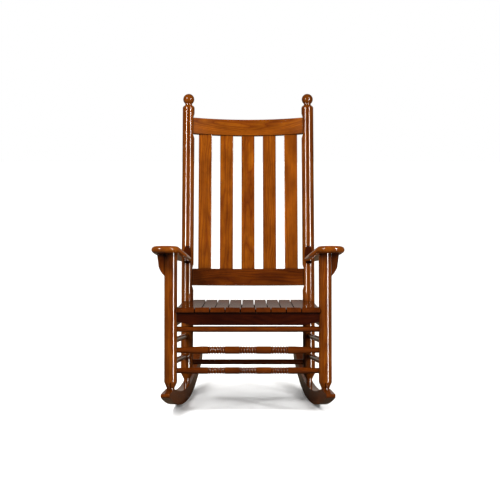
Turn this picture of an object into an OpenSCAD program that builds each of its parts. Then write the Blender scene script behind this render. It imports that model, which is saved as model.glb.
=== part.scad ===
// Slatted wooden rocking chair, built from separate turned, sawn and bent pieces.
// Millimetres, +Z up, front towards -Y, standing on the floor at Z = 0.
// Pieces are drawn with Y = 0 at the front feet; at_rest() moves them to the part's origin,
// which is on the floor midway between the tips and the tails of the rockers.
// Pieces that come in left and right pairs are drawn once, on the +X side, and mirrored.

/* [Frame] */
// Distance between the centre lines of the front posts
front_width = 564; // [550:1:580]
// Distance between the centre lines of the rear posts
rear_width = 479; // [470:1:490]
// Distance from the front feet back to the rear feet
base_depth = 410; // [400:1:420]
// Backward lean of the front posts, in degrees
front_lean = 6; // [5:0.5:7]
// Backward lean of the rear posts, in degrees
back_lean = 14; // [13:0.5:15]
// Diameter of the four round posts
post_d = 48; // [46:1:50]
// Height of the finial tops above the floor
back_height = 1186; // [1176:1:1196]

/* [Rockers] */
// Radius of the rolling curve in front of the line where it touches the floor
rocker_front_radius = 1290; // [1260:10:1320]
// Radius of the rolling curve behind that line
rocker_rear_radius = 940; // [920:10:960]
// Depth of the rocker board, from its top curve to its bottom curve
rocker_depth = 50; // [48:1:54]
// Thickness of the rocker board
rocker_t = 32; // [32:1:36]
// Distance from the front feet back to the line where the rockers touch the floor
rocker_low = 329; // [322:1:336]
// Reach of the rockers in front of the front feet
rocker_ahead = 130; // [120:1:140]
// Reach of the rockers behind the front feet
rocker_behind = 758; // [740:1:770]

/* [Seat] */
// Height of the front edge of the seat
seat_height = 391; // [388:1:394]
// Height of the rear edge of the seat
seat_rear_height = 371; // [368:1:374]
// Depth of the hollow of the seat below a straight line from front to rear
seat_dish = 20; // [16:1:24]
// Thickness of the seat slats
seat_slat_t = 20; // [18:1:22]
// Distance between neighbouring seat slats' centre lines at the front
seat_pitch_front = 56; // [54:0.5:57]
// Distance between neighbouring seat slats' centre lines at the rear
seat_pitch_rear = 47.5; // [46:0.5:48]

/* [Back] */
// Height of the top edge of the crest rail above the rear feet, along the posts
crest_top = 1066; // [1056:1:1072]
// Height of the top edge of the lower back rail above the rear feet, along the posts
low_rail_top = 450; // [445:1:455]
// Height of each of the two back rails
back_rail_h = 65; // [60:1:68]
// How far the middle of the crest rail is bent backwards
crest_bow = 36; // [30:1:40]
// How far the middle of the lower back rail is bent backwards
low_rail_bow = 8; // [6:1:12]
// Width of the back slats
back_slat_w = 52; // [48:1:56]
// Distance between neighbouring back slats' centre lines
back_slat_pitch = 86; // [84:1:88]

/* [Arms] */
// Height of the underside of the arms at the front posts
arm_height = 583; // [578:1:588]
// Downward slope of the arms towards the rear, in degrees
arm_slope = 8; // [7:0.5:9]
// Thickness of the arms
arm_t = 25; // [24:1:27]
// Radius of the rounded front corners of the arms, seen from above
arm_corner = 49; // [40:1:50]

/* [Rungs] */
// Diameter of the side rungs and the plain top front rung
rung_d = 22; // [21:1:24]
// Diameter of the middle front rung, which has turned beads
middle_rung_d = 28; // [26:1:29]
// Diameter of the lower front rung, which has turned beads
lower_rung_d = 25; // [24:1:27]
// Depth of the grooves between the beads
bead_groove = 3; // [2:0.5:3.5]

/* [Hidden] */
$fn = 96;
wide = 1200;                          // longer than anything it has to cut
seam = 0.05;                          // lets the two halves of a rocker join

post_r = post_d / 2;
front_x = front_width / 2;
rear_x = rear_width / 2;
front_neck_r = 14.5;
rear_neck_r = 12;
foot_taper = 22;                      // length over which a post narrows to its neck
foot_tenon = 26;                      // depth of the foot tenons inside the rockers

// Rockers: a vertical board through the front and the rear foot of one side.
rocker_nose_r = 7;                    // radius of the rounded front end
toe_in = atan((front_x - rear_x) / base_depth);
rocker_low_s = rocker_low / cos(toe_in);
rear_foot_s = base_depth / cos(toe_in);
function rolling_radius(s) = s < rocker_low_s ? rocker_front_radius : rocker_rear_radius;
function rocker_top(s) = rolling_radius(s)
    - sqrt(pow(rolling_radius(s) - rocker_depth, 2) - pow(s - rocker_low_s, 2));
front_foot = rocker_top(0);
rear_foot = rocker_top(rear_foot_s);
origin_y = (rocker_behind - rocker_ahead) / 2;

// Points on the centre lines of the right-hand posts at a height above the floor.
function front_at(z) = [front_x, (z - front_foot) * tan(front_lean), z];
function rear_at(z) = [rear_x, base_depth + (z - rear_foot) * tan(back_lean), z];

// Finial at the top of a rear post, measured along the post.
finial_r = 22.5;
finial_neck_r = 14;
shoulder_r = post_r / 2;
finial_z = (back_height - finial_r - rear_foot) / cos(back_lean);
finial_neck_z = finial_z - sqrt(finial_r * finial_r - finial_neck_r * finial_neck_r);
shoulder_z = finial_neck_z - 20;      // centre of the shoulder's rounding

// Milled places on the rear posts.
rail_flat = 6;                        // depth of the flats the back rails butt against
arm_flat = 5.5;                       // depth of the hollow the arm butts against
arm_flat_r = 166;
arm_flat_z = (541 - rear_foot) / cos(back_lean);

// Back rails and slats.
rail_t = 22;
rail_tenon = [30, 12, 45];            // across both shoulders, through the thickness, in height
rail_end = rear_x - post_r + rail_flat;
back_slat_t = 11;
slat_in_rail = 12;
slat_foot = low_rail_top - slat_in_rail;
slat_head = crest_top - back_rail_h + slat_in_rail;
function bow_radius(bow) = (rail_end * rail_end + bow * bow) / (2 * bow);
function bow_at(x, bow) = bow - bow_radius(bow) + sqrt(pow(bow_radius(bow), 2) - x * x);

// Seat: a hollow between the front crest and the rear edge, with a rounded nose in front.
seat_crest = [28, seat_height];
seat_rear = [494, seat_rear_height];
seat_chord = norm(seat_rear - seat_crest);
seat_fall = atan2(seat_height - seat_rear_height, seat_rear[0] - seat_crest[0]);
dish_r = pow(seat_chord / 2, 2) / (2 * seat_dish) + seat_dish / 2;
dish_centre = (seat_crest + seat_rear) / 2
    + (dish_r - seat_dish) * [sin(seat_fall), cos(seat_fall)];
crest_angle = asin(seat_chord / 2 / dish_r) + seat_fall;
nose_r = 16;
seat_gap = 3;
seat_side_front = 304;                // half width of the seat, in line with the front feet
seat_side_rear = 254;                 // half width of the seat at its rear edge
seat_nose_half = 264;                 // half width of the seat in front of the posts
seat_nose_end = 45;                   // where the seat becomes wider, behind the front feet
seat_slats = 9;
seat_rail_t = 22;
seat_rail_h = 52;
seat_front_rail_z = 352;
seat_rear_rail_z = 336;
side_rail_z = [338, 326];
seat_rail_tenon = [18, 12, 26];       // length, thickness, height
seat_tenon_mid = 17;                  // from the post's centre line to the tenon's middle

// Arms, in the plane of their underside; y = 0 at the front post.
arm_front = -113;
arm_outer = 349;
arm_inner = 243;
arm_rear_outer = 256;
arm_rear_inner = 222;
arm_length = 474;
arm_outer_turn = -70;                 // where the outer edge starts to curve inwards
arm_outer_r = (pow(arm_length - arm_outer_turn, 2) + pow(arm_outer - arm_rear_outer, 2))
    / (2 * (arm_outer - arm_rear_outer));
arm_outer_centre = [arm_outer - arm_outer_r, arm_outer_turn];
arm_inner_turn = atan((arm_inner - arm_rear_inner) / arm_length);
corner_y = arm_front + arm_corner;
inner_corner = [arm_inner + (arm_corner - corner_y * sin(arm_inner_turn)) / cos(arm_inner_turn), corner_y];
outer_corner = [arm_outer_centre[0]
    + sqrt(pow(arm_outer_r - arm_corner, 2) - pow(corner_y - arm_outer_turn, 2)), corner_y];
to_inner = [-cos(arm_inner_turn), -sin(arm_inner_turn)];
to_outer = (outer_corner - arm_outer_centre) / norm(outer_corner - arm_outer_centre);
arm_overlap = 4;                      // of the arm behind its corners and the corners themselves
arm_tenon_r = 14;
arm_tenon = 14;

// Arm brackets.
bracket_reach = 26;                   // at the top, from the post's outer side
bracket_h = 78;
bracket_heel = [20, 32];              // corner between its side and its curved lower edge
bracket_r = 85;                       // radius of the lower edge
bracket_t = 20;

// Rungs.
tenon_r = 10;
tenon_in = 20;                        // depth of a rung's end inside a post
front_rung_z = [312, 236, 162];
front_rung_d = [rung_d, middle_rung_d, lower_rung_d];
rear_rung_z = 132;
rear_rung_d = 20.5;
side_rung_z = [[266, 233], [189, 156]];
rung_taper = 85;                      // length over which a rung grows to its full diameter
beads = 6;
bead_pitch = 10;
bead_groups = [-115, 0, 115];

// ---- placing ----

module at_rest() translate([0, -origin_y, 0]) children();

module left() mirror([1, 0, 0]) children();

module front_frame() translate([0, 0, front_foot]) rotate([-front_lean, 0, 0]) children();

module back_frame() translate([0, base_depth, rear_foot]) rotate([-back_lean, 0, 0]) children();

module arm_frame() translate([0, front_at(arm_height)[1], arm_height]) rotate([-arm_slope, 0, 0]) children();

module both_sides() {
    children();
    left() children();
}

// Turns +Z into the direction from p to q and starts at p.
module between(p, q) {
    d = q - p;
    translate(p) rotate([0, acos(d[2] / norm(d)), atan2(d[1], d[0])]) children();
}

module wood() color([0.62, 0.30, 0.12]) children();

// ---- rockers ----

module board_ring(r) {
    difference() {
        circle(r = r, $fn = 720);
        circle(r = r - rocker_depth, $fn = 720);
    }
}

// Centre of a round end that touches the rolling curve from inside, measured from that curve's centre.
function end_centre(r, end_r, end) =
    let (x = end - sign(end) * end_r - rocker_low_s)
    [x, -sqrt(pow(r - end_r, 2) - x * x)];

// The board ahead of the floor line: its top runs level from the foot to a rounded nose.
module rocker_nose() {
    r = rocker_front_radius;
    c = end_centre(r, rocker_nose_r, -rocker_ahead / cos(toe_in));
    level = c[1] + rocker_nose_r;
    translate([rocker_low_s, r]) {
        intersection() {
            board_ring(r);
            polygon([[seam, level], [seam, -2 * r], 2 * c, c, [c[0], level]]);
        }
        translate(c) circle(r = rocker_nose_r);
    }
}

// The board behind the floor line: full depth up to a half-round tail.
module rocker_tail() {
    r = rocker_rear_radius;
    end_r = rocker_depth / 2;
    c = end_centre(r, end_r, rocker_behind / cos(toe_in));
    translate([rocker_low_s, r]) {
        intersection() {
            board_ring(r);
            polygon([[-seam, 0], [-seam, -2 * r], 2 * c, [0, 0]]);
        }
        translate(c) circle(r = end_r);
    }
}

module rocker_blank() {
    translate([front_x, 0, 0]) rotate([0, 0, 90 + toe_in]) rotate([90, 0, 0])
        linear_extrude(height = rocker_t, center = true) {
            rocker_nose();
            rocker_tail();
        }
}

module foot_tenons() {
    front_frame() translate([front_x, 0, -foot_tenon]) cylinder(r = front_neck_r - 4, h = foot_tenon + 8);
    back_frame() translate([rear_x, 0, -foot_tenon]) cylinder(r = rear_neck_r - 3, h = foot_tenon + 8);
}

module rocker() {
    difference() {
        rocker_blank();
        foot_tenons();
    }
}

// ---- posts ----

module front_turning() {
    top = (arm_height - front_foot) / cos(front_lean) + 6;
    rotate_extrude()
        polygon([[0, -16], [front_neck_r, -16], [front_neck_r, 4], [post_r, 4 + foot_taper],
                 [post_r, top], [0, top]]);
}

module rear_turning() {
    rotate_extrude() {
        polygon([[0, -16], [rear_neck_r, -16], [rear_neck_r, 14], [post_r, 14 + foot_taper],
                 [post_r, shoulder_z], [finial_neck_r, shoulder_z],
                 [finial_neck_r, finial_neck_z + 4], [0, finial_neck_z + 4]]);
        translate([post_r - shoulder_r, shoulder_z]) circle(r = shoulder_r);
        intersection() {
            translate([0, finial_z]) circle(r = finial_r);
            translate([0, finial_z - finial_r]) square(2 * finial_r);
        }
    }
}

// A flat on the inner side of a rear post, with sloping run-outs above and below.
module rail_seat(z) {
    run = 16;
    half = back_rail_h / 2 + 3;
    inner = rear_x - post_r;
    translate([0, post_r + 1, z]) rotate([90, 0, 0])
        linear_extrude(height = post_d + 2)
            polygon([[inner - 1, -half - run], [inner, -half - run], [rail_end, -half],
                     [rail_end, half], [inner, half + run], [inner - 1, half + run]]);
}

module rear_post_blank() {
    back_frame() difference() {
        translate([rear_x, 0, 0]) rear_turning();
        rail_seat(crest_top - back_rail_h / 2);
        rail_seat(low_rail_top - back_rail_h / 2);
        translate([rear_x - post_r, arm_flat - post_r - arm_flat_r, arm_flat_z])
            rotate([0, 90, 0]) cylinder(r = arm_flat_r, h = post_d, $fn = 240);
    }
}

module front_post_blank() {
    front_frame() translate([front_x, 0, 0]) front_turning();
}

module arm_tenons() {
    front_frame() translate([front_x, 0, (arm_height - front_foot) / cos(front_lean) - 6])
        cylinder(r = arm_tenon_r, h = arm_tenon + 6);
}

module front_post() {
    difference() {
        front_post_blank();
        rocker_blank();
        arm_blank();
        front_rung_tenons();
        side_rung_tenons();
        seat_front_tenons();
        seat_side_tenons();
    }
    intersection() {
        foot_tenons();
        front_frame() translate([front_x, 0, 0]) cube(4 * post_d, center = true);
    }
    arm_tenons();
}

module rear_post() {
    difference() {
        rear_post_blank();
        rocker_blank();
        back_rail_tenons(crest_top);
        back_rail_tenons(low_rail_top);
        seat_rear_tenons();
        seat_side_tenons();
        side_rung_tenons();
        rear_rung_tenons();
    }
    intersection() {
        foot_tenons();
        back_frame() translate([rear_x, 0, 0]) cube(4 * post_d, center = true);
    }
}

// ---- rungs ----

module rung_tenons(length) {
    cylinder(r = tenon_r, h = tenon_in + 4);
    translate([0, 0, length - tenon_in - 4]) cylinder(r = tenon_r, h = tenon_in + 4);
}

module rung(length, d, groups = []) {
    lead = tenon_in + 4;
    full = lead + rung_taper;
    bead_r = bead_pitch / 2;
    group_length = beads * bead_pitch;
    rotate_extrude() {
        difference() {
            polygon([[0, 0], [tenon_r, 0], [tenon_r, lead], [d / 2, full],
                     [d / 2, length - full], [tenon_r, length - lead], [tenon_r, length], [0, length]]);
            for (g = groups)
                translate([d / 2 - bead_groove, length / 2 + g - group_length / 2])
                    square([d, group_length]);
        }
        for (g = groups)
            for (i = [0 : beads - 1])
                translate([d / 2 - bead_r, length / 2 + g + (i - (beads - 1) / 2) * bead_pitch])
                    circle(r = bead_r, $fn = 32);
    }
}

function cross_rung_length(half_width) = 2 * (half_width - post_r + tenon_in);

module cross_rung_frame(half_width)
    translate([-cross_rung_length(half_width) / 2, 0, 0]) rotate([0, 90, 0]) children();

module front_rung_frame(z)
    front_frame() translate([0, 0, (z - front_foot) / cos(front_lean)]) cross_rung_frame(front_x) children();

module rear_rung_frame()
    back_frame() translate([0, 0, (rear_rung_z - rear_foot) / cos(back_lean)])
        cross_rung_frame(rear_x) children();

function side_rung_ends(z) = [front_at(z[0]), rear_at(z[1])];
function side_rung_length(z) = norm(side_rung_ends(z)[1] - side_rung_ends(z)[0]) - 2 * (post_r - tenon_in);

module side_rung_frame(z) {
    ends = side_rung_ends(z);
    between(ends[0], ends[1]) translate([0, 0, post_r - tenon_in]) children();
}

module front_rung_tenons() {
    for (z = front_rung_z)
        front_rung_frame(z) rung_tenons(cross_rung_length(front_x));
}

module rear_rung_tenons() rear_rung_frame() rung_tenons(cross_rung_length(rear_x));

module side_rung_tenons() {
    for (z = side_rung_z)
        side_rung_frame(z) rung_tenons(side_rung_length(z));
}

module front_rung(i, groups = [])
    front_rung_frame(front_rung_z[i]) rung(cross_rung_length(front_x), front_rung_d[i], groups);

module rear_rung() rear_rung_frame() rung(cross_rung_length(rear_x), rear_rung_d);

module side_rung(i) side_rung_frame(side_rung_z[i]) rung(side_rung_length(side_rung_z[i]), rung_d);

// ---- back ----

module back_rail_tenons(top) {
    back_frame() translate([rail_end, 0, top - back_rail_h / 2]) cube(rail_tenon, center = true);
}

module back_slat_blank(x) {
    foot = bow_at(x, low_rail_bow);
    head = bow_at(x, crest_bow);
    length = norm([head - foot, slat_head - slat_foot]);
    turn = (asin(x / bow_radius(low_rail_bow)) + asin(x / bow_radius(crest_bow))) / 2;
    back_frame() translate([x, foot, slat_foot])
        rotate([-atan2(head - foot, slat_head - slat_foot), 0, 0]) rotate([0, 0, -turn])
            translate([-back_slat_w / 2, -back_slat_t / 2, 0]) cube([back_slat_w, back_slat_t, length]);
}

module back_slat_blanks() {
    for (i = [-2 : 2])
        back_slat_blank(i * back_slat_pitch);
}

module back_rail(top, bow) {
    r = bow_radius(bow);
    difference() {
        back_frame() translate([0, 0, top - back_rail_h]) linear_extrude(height = back_rail_h)
            intersection() {
                translate([0, bow - r]) difference() {
                    circle(r = r + rail_t / 2, $fn = 360);
                    circle(r = r - rail_t / 2, $fn = 360);
                }
                translate([-rail_end, -post_d]) square([2 * rail_end, 3 * post_d]);
            }
        back_slat_blanks();
    }
    both_sides() intersection() {
        back_rail_tenons(top);
        back_frame() translate([rail_end - 4, -post_r, 0]) cube([post_d, post_d, 2 * wide]);
    }
}

// ---- seat ----

// One slat from the side, in the (Y, Z) plane: hollow on top, with a rounded front end.
module seat_profile() {
    crest_line = [sin(crest_angle), cos(crest_angle)];
    intersection() {
        translate(dish_centre) circle(r = dish_r + seat_slat_t, $fn = 720);
        union() {
            difference() {
                polygon([dish_centre, seat_crest - 2 * seat_slat_t * crest_line,
                         [seat_rear[0], 0], [seat_rear[0], dish_centre[1]]]);
                translate(dish_centre) circle(r = dish_r, $fn = 720);
            }
            translate(seat_crest - nose_r * crest_line) circle(r = nose_r);
        }
    }
}

module across(width) rotate([90, 0, 90]) linear_extrude(height = width, center = true) children();

function edge_front(i) = i == 0 ? -seat_side_front : i == seat_slats ? seat_side_front
    : (i - seat_slats / 2) * seat_pitch_front;
function edge_rear(i) = i == 0 ? -seat_side_rear : i == seat_slats ? seat_side_rear
    : (i - seat_slats / 2) * seat_pitch_rear;
function inset(i) = i == 0 || i == seat_slats ? 0 : seat_gap / 2;

// Room for the posts, and beside the front posts for the narrower nose of the seat.
module post_clearance() {
    clear_r = post_r + 1.5;
    both_sides() {
        front_frame() translate([front_x, 0, 0]) cylinder(r = clear_r, h = wide);
        back_frame() translate([rear_x, 0, 0]) cylinder(r = clear_r, h = wide);
        translate([seat_nose_half, seat_nose_end - wide, 0]) cube(wide);
    }
}

module seat_slat(i) {
    difference() {
        intersection() {
            across(wide) seat_profile();
            linear_extrude(height = wide)
                polygon([[edge_front(i - 1) + inset(i - 1), 0],
                         [edge_front(i) - inset(i), 0],
                         [edge_rear(i) - inset(i), seat_rear[0] + 1],
                         [edge_rear(i - 1) + inset(i - 1), seat_rear[0] + 1]]);
        }
        if (i == 1 || i == seat_slats)
            post_clearance();
    }
}

// Everything above the underside of the seat slats.
module above_seat() across(wide) translate(dish_centre) circle(r = dish_r + seat_slat_t, $fn = 720);

module cross_tenons(post_x) {
    both_sides() translate([post_x - seat_tenon_mid, 0, 0]) cube(seat_rail_tenon, center = true);
}

module seat_front_frame()
    front_frame() translate([0, 0, (seat_front_rail_z - front_foot) / cos(front_lean)]) children();

module seat_rear_frame()
    back_frame() translate([0, 0, (seat_rear_rail_z - rear_foot) / cos(back_lean)]) children();

module seat_front_tenons() seat_front_frame() cross_tenons(front_x);

module seat_rear_tenons() seat_rear_frame() cross_tenons(rear_x);

// Lower edge of the front rail: straight in the middle, relieved towards the posts.
module front_rail_outline() {
    relief = 11;
    half = seat_rail_h / 2;
    polygon([[-front_x, half], [-front_x, relief - half], [-front_x + 35, relief - half],
             [-front_x + 72, -half], [front_x - 72, -half], [front_x - 35, relief - half],
             [front_x, relief - half], [front_x, half]]);
}

module seat_front_rail() {
    difference() {
        seat_front_frame() rotate([90, 0, 0])
            linear_extrude(height = seat_rail_t, center = true) front_rail_outline();
        both_sides() front_post_blank();
        above_seat();
    }
    both_sides() intersection() {
        seat_front_tenons();
        front_post_blank();
    }
}

module seat_rear_rail() {
    difference() {
        seat_rear_frame() cube([2 * rear_x, seat_rail_t, seat_rail_h], center = true);
        both_sides() rear_post_blank();
        above_seat();
    }
    both_sides() intersection() {
        seat_rear_tenons();
        rear_post_blank();
    }
}

module side_rail_frame() {
    p = front_at(side_rail_z[0]);
    q = rear_at(side_rail_z[1]);
    between(p, q) children();
}

function side_rail_length() = norm(rear_at(side_rail_z[1]) - front_at(side_rail_z[0]));

module seat_side_tenons() {
    for (z = [seat_tenon_mid, side_rail_length() - seat_tenon_mid])
        side_rail_frame() translate([0, 0, z])
            cube([seat_rail_tenon[2], seat_rail_tenon[1], seat_rail_tenon[0]], center = true);
}

module seat_side_rail() {
    length = side_rail_length();
    difference() {
        side_rail_frame() translate([-2, 0, length / 2])
            cube([48, seat_rail_t, length], center = true);
        front_post_blank();
        rear_post_blank();
        above_seat();
    }
    intersection() {
        seat_side_tenons();
        union() {
            front_post_blank();
            rear_post_blank();
        }
    }
}

// ---- arms ----

// Half-round edge: a long section in the (x, z) plane ending in a half circle at x = 0.
module nosed_section(length) {
    translate([-length, 0]) square([length - arm_t / 2, arm_t]);
    translate([-arm_t / 2, arm_t / 2]) circle(r = arm_t / 2);
}

// The arm behind its front corners, which it overlaps a little: curved outer edge, straight inner edge.
module arm_body() {
    intersection() {
        translate(arm_outer_centre) rotate([0, 0, -5])
            rotate_extrude(angle = 30, $fn = 720) intersection() {
                translate([arm_outer_r, 0]) nosed_section(400);
                translate([arm_outer_r - 300, 0]) square([300, arm_t]);
            }
        translate([arm_inner, 0, 0]) rotate([0, 0, arm_inner_turn]) rotate([90, 0, 0])
            linear_extrude(height = wide, center = true) mirror([1, 0]) nosed_section(400);
        translate([0, -arm_overlap, -5]) linear_extrude(height = arm_t + 10)
            polygon([inner_corner + 80 * to_inner, inner_corner, outer_corner, outer_corner + 80 * to_outer,
                     [arm_outer + 60, arm_length], [arm_rear_inner - 30, arm_length]]);
    }
}

// The short straight stretch of the front edge.
module arm_front_strip() {
    translate([inner_corner[0], arm_front, 0]) rotate([90, 0, 90])
        linear_extrude(height = outer_corner[0] - inner_corner[0])
            mirror([1, 0]) nosed_section(arm_corner);
}

// A front corner: the part of a round-edged disc between straight ahead and one side.
module arm_front_corner(centre, side) {
    reach = 2 * arm_corner;
    intersection() {
        translate(centre) rotate_extrude() intersection() {
            translate([arm_corner, 0]) nosed_section(2 * arm_corner);
            square([arm_corner, arm_t]);
        }
        translate([0, 0, -1]) linear_extrude(height = arm_t + 2)
            polygon([centre, centre + reach * [0, -1], centre + reach * (side + [0, -1]),
                     centre + reach * side]);
    }
}

module arm_blank() {
    arm_frame() {
        arm_body();
        arm_front_strip();
        arm_front_corner(inner_corner, to_inner);
        arm_front_corner(outer_corner, to_outer);
    }
}

module arm() {
    difference() {
        arm_blank();
        arm_tenons();
        rear_post_blank();
    }
}

// Side view of a bracket, measured from the post's outer side and from the bracket's lower tip.
module bracket_outline() {
    half = norm(bracket_heel) / 2;
    inwards = [-bracket_heel[1], bracket_heel[0]] / (2 * half);
    intersection() {
        translate(bracket_heel / 2 + sqrt(bracket_r * bracket_r - half * half) * inwards)
            circle(r = bracket_r);
        translate([-6, 0]) square([bracket_heel[0] + 6, bracket_heel[1]]);
    }
    polygon([[-6, bracket_heel[1] - 5], [bracket_heel[0] - 6, bracket_heel[1] - 5], bracket_heel,
             [bracket_reach, bracket_h], [bracket_reach, bracket_h + 12], [-6, bracket_h + 12]]);
}

module arm_bracket() {
    top = (arm_height - front_foot) / cos(front_lean);
    difference() {
        front_frame() translate([front_x + post_r, 0, top - bracket_h]) rotate([90, 0, 0])
            linear_extrude(height = bracket_t, center = true) bracket_outline();
        front_post_blank();
        arm_blank();
        arm_frame() translate([0, -wide / 2, arm_t / 2]) cube(wide);
    }
}

// ---- nodes ----

at_rest() wood() left() rear_post();  // rear_post_left
at_rest() wood() rear_post();  // rear_post_right
at_rest() wood() left() front_post();  // front_post_left
at_rest() wood() front_post();  // front_post_right
at_rest() wood() back_rail(crest_top, crest_bow);  // crest_rail
at_rest() wood() back_rail(low_rail_top, low_rail_bow);  // lower_back_rail
at_rest() wood() back_slat_blank(-2 * back_slat_pitch);  // back_slat_1
at_rest() wood() back_slat_blank(-back_slat_pitch);  // back_slat_2
at_rest() wood() back_slat_blank(0);  // back_slat_3
at_rest() wood() back_slat_blank(back_slat_pitch);  // back_slat_4
at_rest() wood() back_slat_blank(2 * back_slat_pitch);  // back_slat_5
at_rest() wood() seat_front_rail();
at_rest() wood() seat_rear_rail();
at_rest() wood() left() seat_side_rail();  // seat_side_rail_left
at_rest() wood() seat_side_rail();  // seat_side_rail_right
at_rest() wood() seat_slat(1);  // seat_slat_1
at_rest() wood() seat_slat(2);  // seat_slat_2
at_rest() wood() seat_slat(3);  // seat_slat_3
at_rest() wood() seat_slat(4);  // seat_slat_4
at_rest() wood() seat_slat(5);  // seat_slat_5
at_rest() wood() seat_slat(6);  // seat_slat_6
at_rest() wood() seat_slat(7);  // seat_slat_7
at_rest() wood() seat_slat(8);  // seat_slat_8
at_rest() wood() seat_slat(9);  // seat_slat_9
at_rest() wood() left() arm();  // arm_left
at_rest() wood() arm();  // arm_right
at_rest() wood() left() arm_bracket();  // arm_bracket_left
at_rest() wood() arm_bracket();  // arm_bracket_right
at_rest() wood() front_rung(0);  // front_rung_top
at_rest() wood() front_rung(1, bead_groups);  // front_rung_middle
at_rest() wood() front_rung(2, bead_groups);  // front_rung_lower
at_rest() wood() rear_rung();
at_rest() wood() left() side_rung(0);  // side_rung_upper_left
at_rest() wood() side_rung(0);  // side_rung_upper_right
at_rest() wood() left() side_rung(1);  // side_rung_lower_left
at_rest() wood() side_rung(1);  // side_rung_lower_right
at_rest() wood() left() rocker();  // rocker_left
at_rest() wood() rocker();  // rocker_right
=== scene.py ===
"""Slatted rocking chair in lacquered wood on a pale studio floor.

Every piece is made from its CAD node: joined up, its edges eased, and its wood grain laid along it.
"""

import random
from math import cos, radians, sin

import bmesh
import bpy
import numpy as np
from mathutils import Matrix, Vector


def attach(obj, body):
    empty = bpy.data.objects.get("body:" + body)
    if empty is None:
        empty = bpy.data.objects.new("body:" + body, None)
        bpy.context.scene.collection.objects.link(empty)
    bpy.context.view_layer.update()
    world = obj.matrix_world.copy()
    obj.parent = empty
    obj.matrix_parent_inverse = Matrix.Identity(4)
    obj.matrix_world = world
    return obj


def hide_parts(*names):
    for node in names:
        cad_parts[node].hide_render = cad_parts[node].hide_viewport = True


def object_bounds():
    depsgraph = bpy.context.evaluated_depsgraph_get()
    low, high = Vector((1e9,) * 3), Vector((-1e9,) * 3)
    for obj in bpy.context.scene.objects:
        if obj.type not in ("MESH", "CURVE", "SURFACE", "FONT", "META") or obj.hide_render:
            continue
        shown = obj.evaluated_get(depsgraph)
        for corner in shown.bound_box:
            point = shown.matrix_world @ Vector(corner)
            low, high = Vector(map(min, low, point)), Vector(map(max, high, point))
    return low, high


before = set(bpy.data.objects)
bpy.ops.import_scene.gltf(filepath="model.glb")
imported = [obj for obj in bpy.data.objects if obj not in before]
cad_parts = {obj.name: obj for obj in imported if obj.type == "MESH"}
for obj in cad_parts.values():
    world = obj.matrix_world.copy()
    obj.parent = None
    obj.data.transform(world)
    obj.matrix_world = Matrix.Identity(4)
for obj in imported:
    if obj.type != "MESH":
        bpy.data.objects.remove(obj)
cad_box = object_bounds()

LOW, HIGH = cad_box
HEIGHT = HIGH.z - LOW.z
MIDDLE = HEIGHT * 0.5

# Tone of each kind of piece, from 0 for the darkest to 1 for the palest, multiplied into the wood's
# colour; the seat rails, seat slats, rungs and lower back rail are made darker than the back slats. The
# first name that is part of the node's name counts. The crest rail and the back slats aren't named: they
# are pale, by chance.
KIND_TONE = {
    "seat_front_rail": 0.0,
    "rear_rung": 0.15,
    "seat_rear_rail": 0.1,
    "lower_back_rail": 0.35,
    "seat_side_rail": 0.1,
    "seat_slat": 0.25,
    "rocker": 0.4,
    "bracket": 0.35,
    "rung": 0.36,
    "post": 0.62,
    "arm": 0.92,
}
PALE_TONE = (0.72, 1.0)
TONE_SPREAD = 0.04

# Painted shade: part of its tone that a face of a post keeps where it looks straight ahead or straight
# behind, to darken the shallow hollow behind the arm.
STRAIGHT_ON_PAINTED_SHADE = 0.15

# Radius of the eased edges of each kind of piece, and whether its grain follows a bend.
EASED_EDGES = {
    "post": (0.0012, False),
    "rung": (0.0, False),
    "rail": (0.0022, True),
    "back_slat": (0.0022, False),
    "seat_slat": (0.0022, True),
    "bracket": (0.0020, False),
    "arm": (0.0015, False),
    "rocker": (0.0030, True),
}
EASED_ABOVE = radians(38)
SHARP_ABOVE = radians(24)

# Rings of the tree in a metre, and how many rings the grain wanders to and fro.
RINGS_PER_METRE = 300.0
RING_WANDER = 9.0


# ---- wood ----


class Nodes:
    """A material's node tree, with short calls for the nodes that the wood needs."""

    def __init__(self, name):
        self.material = bpy.data.materials.new(name)
        self.material.use_nodes = True
        self.tree = self.material.node_tree
        self.shader = self.tree.nodes["Principled BSDF"]

    def new(self, kind, **settings):
        node = self.tree.nodes.new("ShaderNode" + kind)
        for name, value in settings.items():
            setattr(node, name, value)
        return node

    def join(self, source, target):
        self.tree.links.new(source, target)

    def put(self, socket, value):
        if isinstance(value, bpy.types.NodeSocket):
            self.join(value, socket)
        else:
            socket.default_value = value

    def math(self, operation, a, b=0.0):
        node = self.new("Math", operation=operation)
        self.put(node.inputs[0], a)
        self.put(node.inputs[1], b)
        return node.outputs[0]

    def scaled(self, vector, scale):
        node = self.new("VectorMath", operation="MULTIPLY")
        self.join(vector, node.inputs[0])
        node.inputs[1].default_value = scale
        return node.outputs[0]

    def noise(self, vector, scale, detail=3.0, roughness=0.5):
        node = self.new("TexNoise")
        self.join(vector, node.inputs["Vector"])
        node.inputs["Scale"].default_value = scale
        node.inputs["Detail"].default_value = detail
        node.inputs["Roughness"].default_value = roughness
        return node.outputs["Fac"]

    def ramp(self, value, *stops):
        node = self.new("ValToRGB")
        elements = node.color_ramp.elements
        while len(elements) < len(stops):
            elements.new(0.5)
        for element, (position, colour) in zip(elements, stops):
            element.position = position
            element.color = (*colour, 1.0) if isinstance(colour, tuple) else (colour, colour, colour, 1.0)
        self.join(value, node.inputs["Fac"])
        return node.outputs["Color"]

    def mix(self, blend, amount, a, b):
        node = self.new("Mix", data_type="RGBA", blend_type=blend)
        self.put(node.inputs["Factor"], amount)
        self.put(node.inputs["A"], a)
        self.put(node.inputs["B"], b)
        return node.outputs["Result"]


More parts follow.
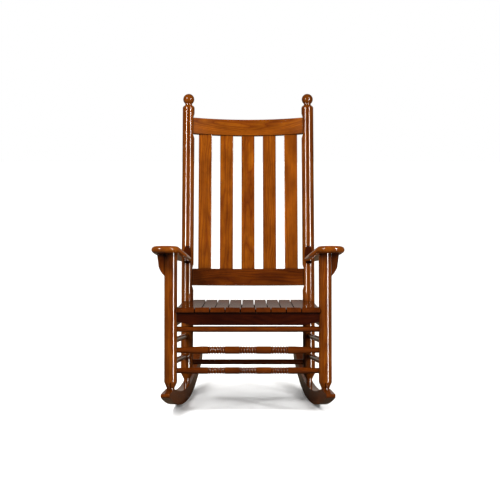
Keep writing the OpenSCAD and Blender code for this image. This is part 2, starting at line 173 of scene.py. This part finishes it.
def lacquered_wood():
    """Reddish-brown stained hardwood under a gloss lacquer with painted shade in recesses; grain and tone
    come from the mesh.
    """
    n = Nodes("lacquered_wood")
    grain = n.new("Attribute", attribute_name="grain").outputs["Vector"]
    tone = n.new("Attribute", attribute_name="tone").outputs["Fac"]

    wander = n.noise(n.scaled(grain, (2.5, 14.0, 14.0)), 1.0, 2.0)
    parts = n.new("SeparateXYZ")
    n.join(grain, parts.inputs[0])
    across = n.math("MULTIPLY", parts.outputs["Y"], parts.outputs["Y"])
    through = n.math("MULTIPLY", parts.outputs["Z"], parts.outputs["Z"])
    radius = n.math("SQRT", n.math("ADD", across, through))
    rings = n.math("ADD", n.math("MULTIPLY", radius, RINGS_PER_METRE),
                   n.math("MULTIPLY", wander, RING_WANDER))
    ring = n.math("FRACT", rings)

    streak = n.noise(n.scaled(grain, (5.0, 150.0, 150.0)), 1.0, 4.0, 0.6)
    fleck = n.noise(n.scaled(grain, (60.0, 900.0, 900.0)), 1.0, 2.0)
    blotch = n.noise(n.scaled(grain, (9.0, 22.0, 22.0)), 1.0, 3.0)

    ring_colour = n.ramp(ring, (0.0, (0.17, 0.036, 0.002)), (0.55, (0.26, 0.070, 0.003)),
                         (0.92, (0.21, 0.050, 0.002)), (1.0, (0.13, 0.024, 0.001)))
    streaked = n.mix("MULTIPLY", 0.7, ring_colour, n.ramp(streak, (0.28, 0.66), (0.72, 1.10)))
    cloud = n.ramp(blotch, (0.32, (0.55, 0.46, 0.45)), (0.68, (1.12, 1.10, 1.0)))
    blotched = n.mix("MULTIPLY", 0.9, streaked, cloud)
    pore = n.ramp(fleck, (0.30, 0.0), (0.42, 1.0))
    pored = n.mix("MULTIPLY", 0.45, blotched, pore)
    # Each piece's tone, with the painted shade on the post faces that look straight ahead or behind.
    tone_and_shade = n.ramp(tone, (0.0, (0.08, 0.02, 0.05)), (0.35, (0.50, 0.40, 0.35)),
                   (0.7, (0.92, 0.90, 0.85)), (1.0, (1.12, 1.12, 1.0)))
    toned_and_shaded = n.mix("MULTIPLY", 1.0, pored, tone_and_shade)

    # Painted shade: the colour darkens within 20 mm of a neighbouring surface, in corners, joints and
    # recesses.
    recess = n.new("AmbientOcclusion", samples=8)
    recess.inputs["Distance"].default_value = 0.02
    painted_recess_shade = n.ramp(recess.outputs["AO"], (0.40, (0.12, 0.05, 0.04)), (0.92, 1.0))
    n.join(n.mix("MULTIPLY", 0.95, toned_and_shaded, painted_recess_shade), n.shader.inputs["Base Color"])

    ripple = n.noise(n.scaled(grain, (22.0, 60.0, 60.0)), 1.0, 2.0)
    rough = n.ramp(n.noise(n.scaled(grain, (30.0, 45.0, 45.0)), 1.0, 4.0), (0.3, 0.26), (0.7, 0.40))
    n.join(rough, n.shader.inputs["Roughness"])
    height = n.math("ADD", n.math("MULTIPLY", pore, 0.4), n.math("MULTIPLY", streak, 0.5))
    bump = n.new("Bump")
    bump.inputs["Strength"].default_value = 0.25
    bump.inputs["Distance"].default_value = 0.0004
    n.join(height, bump.inputs["Height"])
    n.join(bump.outputs["Normal"], n.shader.inputs["Normal"])
    skin = n.new("Bump")
    skin.inputs["Strength"].default_value = 0.08
    skin.inputs["Distance"].default_value = 0.0006
    n.join(ripple, skin.inputs["Height"])
    n.join(skin.outputs["Normal"], n.shader.inputs["Coat Normal"])
    n.shader.inputs["Specular IOR Level"].default_value = 0.05
    n.shader.inputs["Coat Weight"].default_value = 1.0
    n.shader.inputs["Coat Roughness"].default_value = 0.03
    n.shader.inputs["Coat IOR"].default_value = 1.6
    return n.material


def tone_of(node, chance):
    """Darkness of a piece's tone, with a small difference between like pieces."""
    known = [value for name, value in KIND_TONE.items() if name in node]
    if known:
        return known[0] + chance.uniform(-TONE_SPREAD, TONE_SPREAD)
    return chance.uniform(*PALE_TONE)


def tone_and_shade_faces(mesh, node, chance):
    """Gives each face its piece's tone, and paints shade on the faces of a post that look straight ahead
    or behind.

    That painted shade is meant for the shallow hollow behind the arm. It also takes in narrow strips up
    the front and back of the posts, and parts of their sockets, because the posts lean.
    """
    tone_and_shade = np.full(len(mesh.polygons), tone_of(node, chance))
    if "post" in node:
        normals = np.zeros(len(mesh.polygons) * 3)
        mesh.polygons.foreach_get("normal", normals)
        sideways, forward, upward = np.abs(normals.reshape(-1, 3).T)
        # Painted shade: darker faces of the posts that look straight ahead or behind.
        tone_and_shade[(sideways < 0.02) & (forward > 0.9) & (upward > 0.02)] *= STRAIGHT_ON_PAINTED_SHADE
    mesh.attributes.new("tone", "FLOAT", "FACE").data.foreach_set("value", tone_and_shade)


def lay_grain(mesh, follows_bend, node):
    """Writes each point's place in the plank: along the grain, and across it from the tree's heart."""
    co = np.zeros(len(mesh.vertices) * 3)
    mesh.vertices.foreach_get("co", co)
    co = co.reshape(-1, 3)
    centred = co - (co.max(0) + co.min(0)) / 2
    axes = np.linalg.svd(centred, full_matrices=False)[2]
    along, across, through = (centred @ axes.T).T
    if follows_bend:
        across = across - np.polyval(np.polyfit(along, across, 2), along)
        through = through - np.polyval(np.polyfit(along, through, 2), along)
    chance = random.Random(node)
    grain = np.column_stack([
        along + chance.uniform(0, 20),
        across + chance.uniform(0.01, 0.05),
        through + chance.uniform(0.04, 0.12),
    ])
    attribute = mesh.attributes.new("grain", "FLOAT_VECTOR", "POINT")
    attribute.data.foreach_set("vector", grain.ravel())
    tone_and_shade_faces(mesh, node, chance)


# ---- pieces ----


def kind_of(node):
    """The kind of piece that a node is, by its name."""
    return next(kind for kind in EASED_EDGES if kind in node)


def make_piece(node, material):
    """A piece with eased edges in place of its CAD node."""
    ease, follows_bend = EASED_EDGES[kind_of(node)]
    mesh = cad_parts[node].data.copy()
    mesh.name = node + "_eased"
    bm = bmesh.new()
    bm.from_mesh(mesh)
    bmesh.ops.remove_doubles(bm, verts=bm.verts, dist=2e-6)
    bmesh.ops.dissolve_limit(bm, angle_limit=radians(0.4), verts=bm.verts, edges=bm.edges)
    if ease:
        edges = [e for e in bm.edges if e.is_manifold and e.calc_face_angle() > EASED_ABOVE]
        bmesh.ops.bevel(bm, geom=edges, offset=ease, segments=3, profile=0.5,
                        affect="EDGES", clamp_overlap=True)
        bmesh.ops.dissolve_degenerate(bm, edges=bm.edges, dist=1e-6)
    bm.to_mesh(mesh)
    bm.free()
    if "custom_normal" in mesh.attributes:
        mesh.attributes.remove(mesh.attributes["custom_normal"])
    mesh.shade_smooth()
    mesh.set_sharp_from_angle(angle=SHARP_ABOVE)
    lay_grain(mesh, follows_bend, node)
    mesh.materials.clear()
    mesh.materials.append(material)
    piece = bpy.data.objects.new(node + "_piece", mesh)
    bpy.context.scene.collection.objects.link(piece)
    weighted = piece.modifiers.new("flat faces", "WEIGHTED_NORMAL")
    weighted.keep_sharp = True
    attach(piece, "root")
    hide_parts(node)
    return piece


wood = lacquered_wood()
pieces = [make_piece(name, wood) for name in sorted(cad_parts)]


# ---- studio ----


def floor_material():
    """Floor that is pale to the camera, and dark to all other rays, so that the chair mirrors no floor."""
    n = Nodes("studio_floor")
    where = n.new("TexCoord").outputs["Object"]
    mottle = n.ramp(n.noise(where, 3.0), (0.3, (0.90, 0.90, 0.89)), (0.7, (0.94, 0.94, 0.93)))
    seen = n.new("LightPath").outputs["Is Camera Ray"]
    n.join(n.mix("MIX", seen, (0.05, 0.032, 0.018, 1.0), mottle), n.shader.inputs["Base Color"])
    n.shader.inputs["Roughness"].default_value = 0.9
    n.shader.inputs["Specular IOR Level"].default_value = 0.1
    return n.material


def add_floor():
    """A floor so wide that its far edge is close to the horizon."""
    bpy.ops.mesh.primitive_grid_add(x_subdivisions=8, y_subdivisions=8, size=120.0)
    floor = bpy.context.object
    floor.name = floor.data.name = "studio_floor"
    floor.data.materials.append(floor_material())
    return floor


STRIP_REACH = 3.5


def add_light(name, place, target, size, power):
    """A soft rectangular light at place that faces target."""
    light = bpy.data.lights.new(name, "AREA")
    light.shape = "RECTANGLE"
    light.size, light.size_y = size
    light.energy = power
    lamp = bpy.data.objects.new(name, light)
    lamp.visible_camera = False
    lamp.location = place
    lamp.rotation_euler = (Vector(target) - Vector(place)).to_track_quat("-Z", "Y").to_euler()
    bpy.context.scene.collection.objects.link(lamp)
    return lamp


def add_strip(name, turn, low, high, width, power):
    """A tall narrow light in front of the chair and to one side; it draws the stripes on the posts."""
    middle = (low + high) / 2
    place = (STRIP_REACH * sin(radians(turn)), -STRIP_REACH * cos(radians(turn)), middle)
    add_light(name, place, (0.0, 0.0, middle), (width, high - low), power)


def light_only(lamp, lit):
    """Lets a lamp light only the objects in lit."""
    receivers = bpy.data.collections.new("lit_by_" + lamp.name)
    for thing in lit:
        receivers.objects.link(thing)
    lamp.light_linking.receiver_collection = receivers


def add_lights(floor):
    """Two strips, a key, a fill for the back, a dim glow for the seat to mirror, and the floor's light.

    The key and the fill don't show in reflections, and the fill doesn't light the floor.
    """
    add_strip("strip_left", -48, 1.4, 3.1, 0.22, 78)
    add_strip("strip_right", 46, 0.05, 3.1, 0.24, 145)
    key = add_light("key", (-1.7, -2.8, 3.4), (0.0, 0.0, MIDDLE), (1.2, 1.0), 176)
    key.visible_glossy = False
    rear_fill = add_light("rear_fill", (0.8, 3.6, 2.4), (0.0, 0.0, MIDDLE), (2.0, 2.0), 110)
    rear_fill.visible_glossy = False
    light_only(rear_fill, pieces)
    glow = add_light("back_glow", (0.0, 4.0, 1.3), (0.0, 0.0, 1.3), (5.0, 2.6), 10)
    glow.data.color = (1.0, 0.82, 0.70)
    add_floor_light(floor)


def add_floor_light(floor):
    """Even light on the floor alone, with the chair's soft shadow, so that the floor is pale all over."""
    light = bpy.data.lights.new("floor_light", "SUN")
    light.energy = 4.1
    light.angle = radians(100)
    lamp = bpy.data.objects.new("floor_light", light)
    bpy.context.scene.collection.objects.link(lamp)
    light_only(lamp, [floor])


def add_world():
    """White where the camera sees it, and dim in reflections, as a studio is beyond its backdrop."""
    world = bpy.data.worlds.new("studio")
    world.use_nodes = True
    nodes = world.node_tree.nodes
    background = nodes["Background"]
    seen = nodes.new("ShaderNodeLightPath").outputs["Is Camera Ray"]
    strength = nodes.new("ShaderNodeMapRange")
    strength.inputs["To Min"].default_value = 0.03
    strength.inputs["To Max"].default_value = 1.0
    world.node_tree.links.new(seen, strength.inputs["Value"])
    world.node_tree.links.new(strength.outputs["Result"], background.inputs["Strength"])
    background.inputs["Color"].default_value = (1.0, 1.0, 1.0, 1.0)
    bpy.context.scene.world = world


CAMERA_DISTANCE = 5.37
CAMERA_HEIGHT = HEIGHT * 0.846
LOOKS_DOWN = 4.16


def add_camera():
    """A long lens in front of the chair, a little above the arms, looking slightly down."""
    camera = bpy.data.cameras.new("camera")
    camera.lens = 109.7
    camera.sensor_width = 36.0
    camera.shift_x = 0.004
    rig = bpy.data.objects.new("camera", camera)
    rig.location = (0.0, LOW.y - CAMERA_DISTANCE, CAMERA_HEIGHT)
    rig.rotation_euler = (radians(90 - LOOKS_DOWN), 0.0, 0.0)
    bpy.context.scene.collection.objects.link(rig)
    bpy.context.scene.camera = rig


add_lights(add_floor())
add_world()
add_camera()
bpy.context.scene.view_settings.view_transform = "Standard"
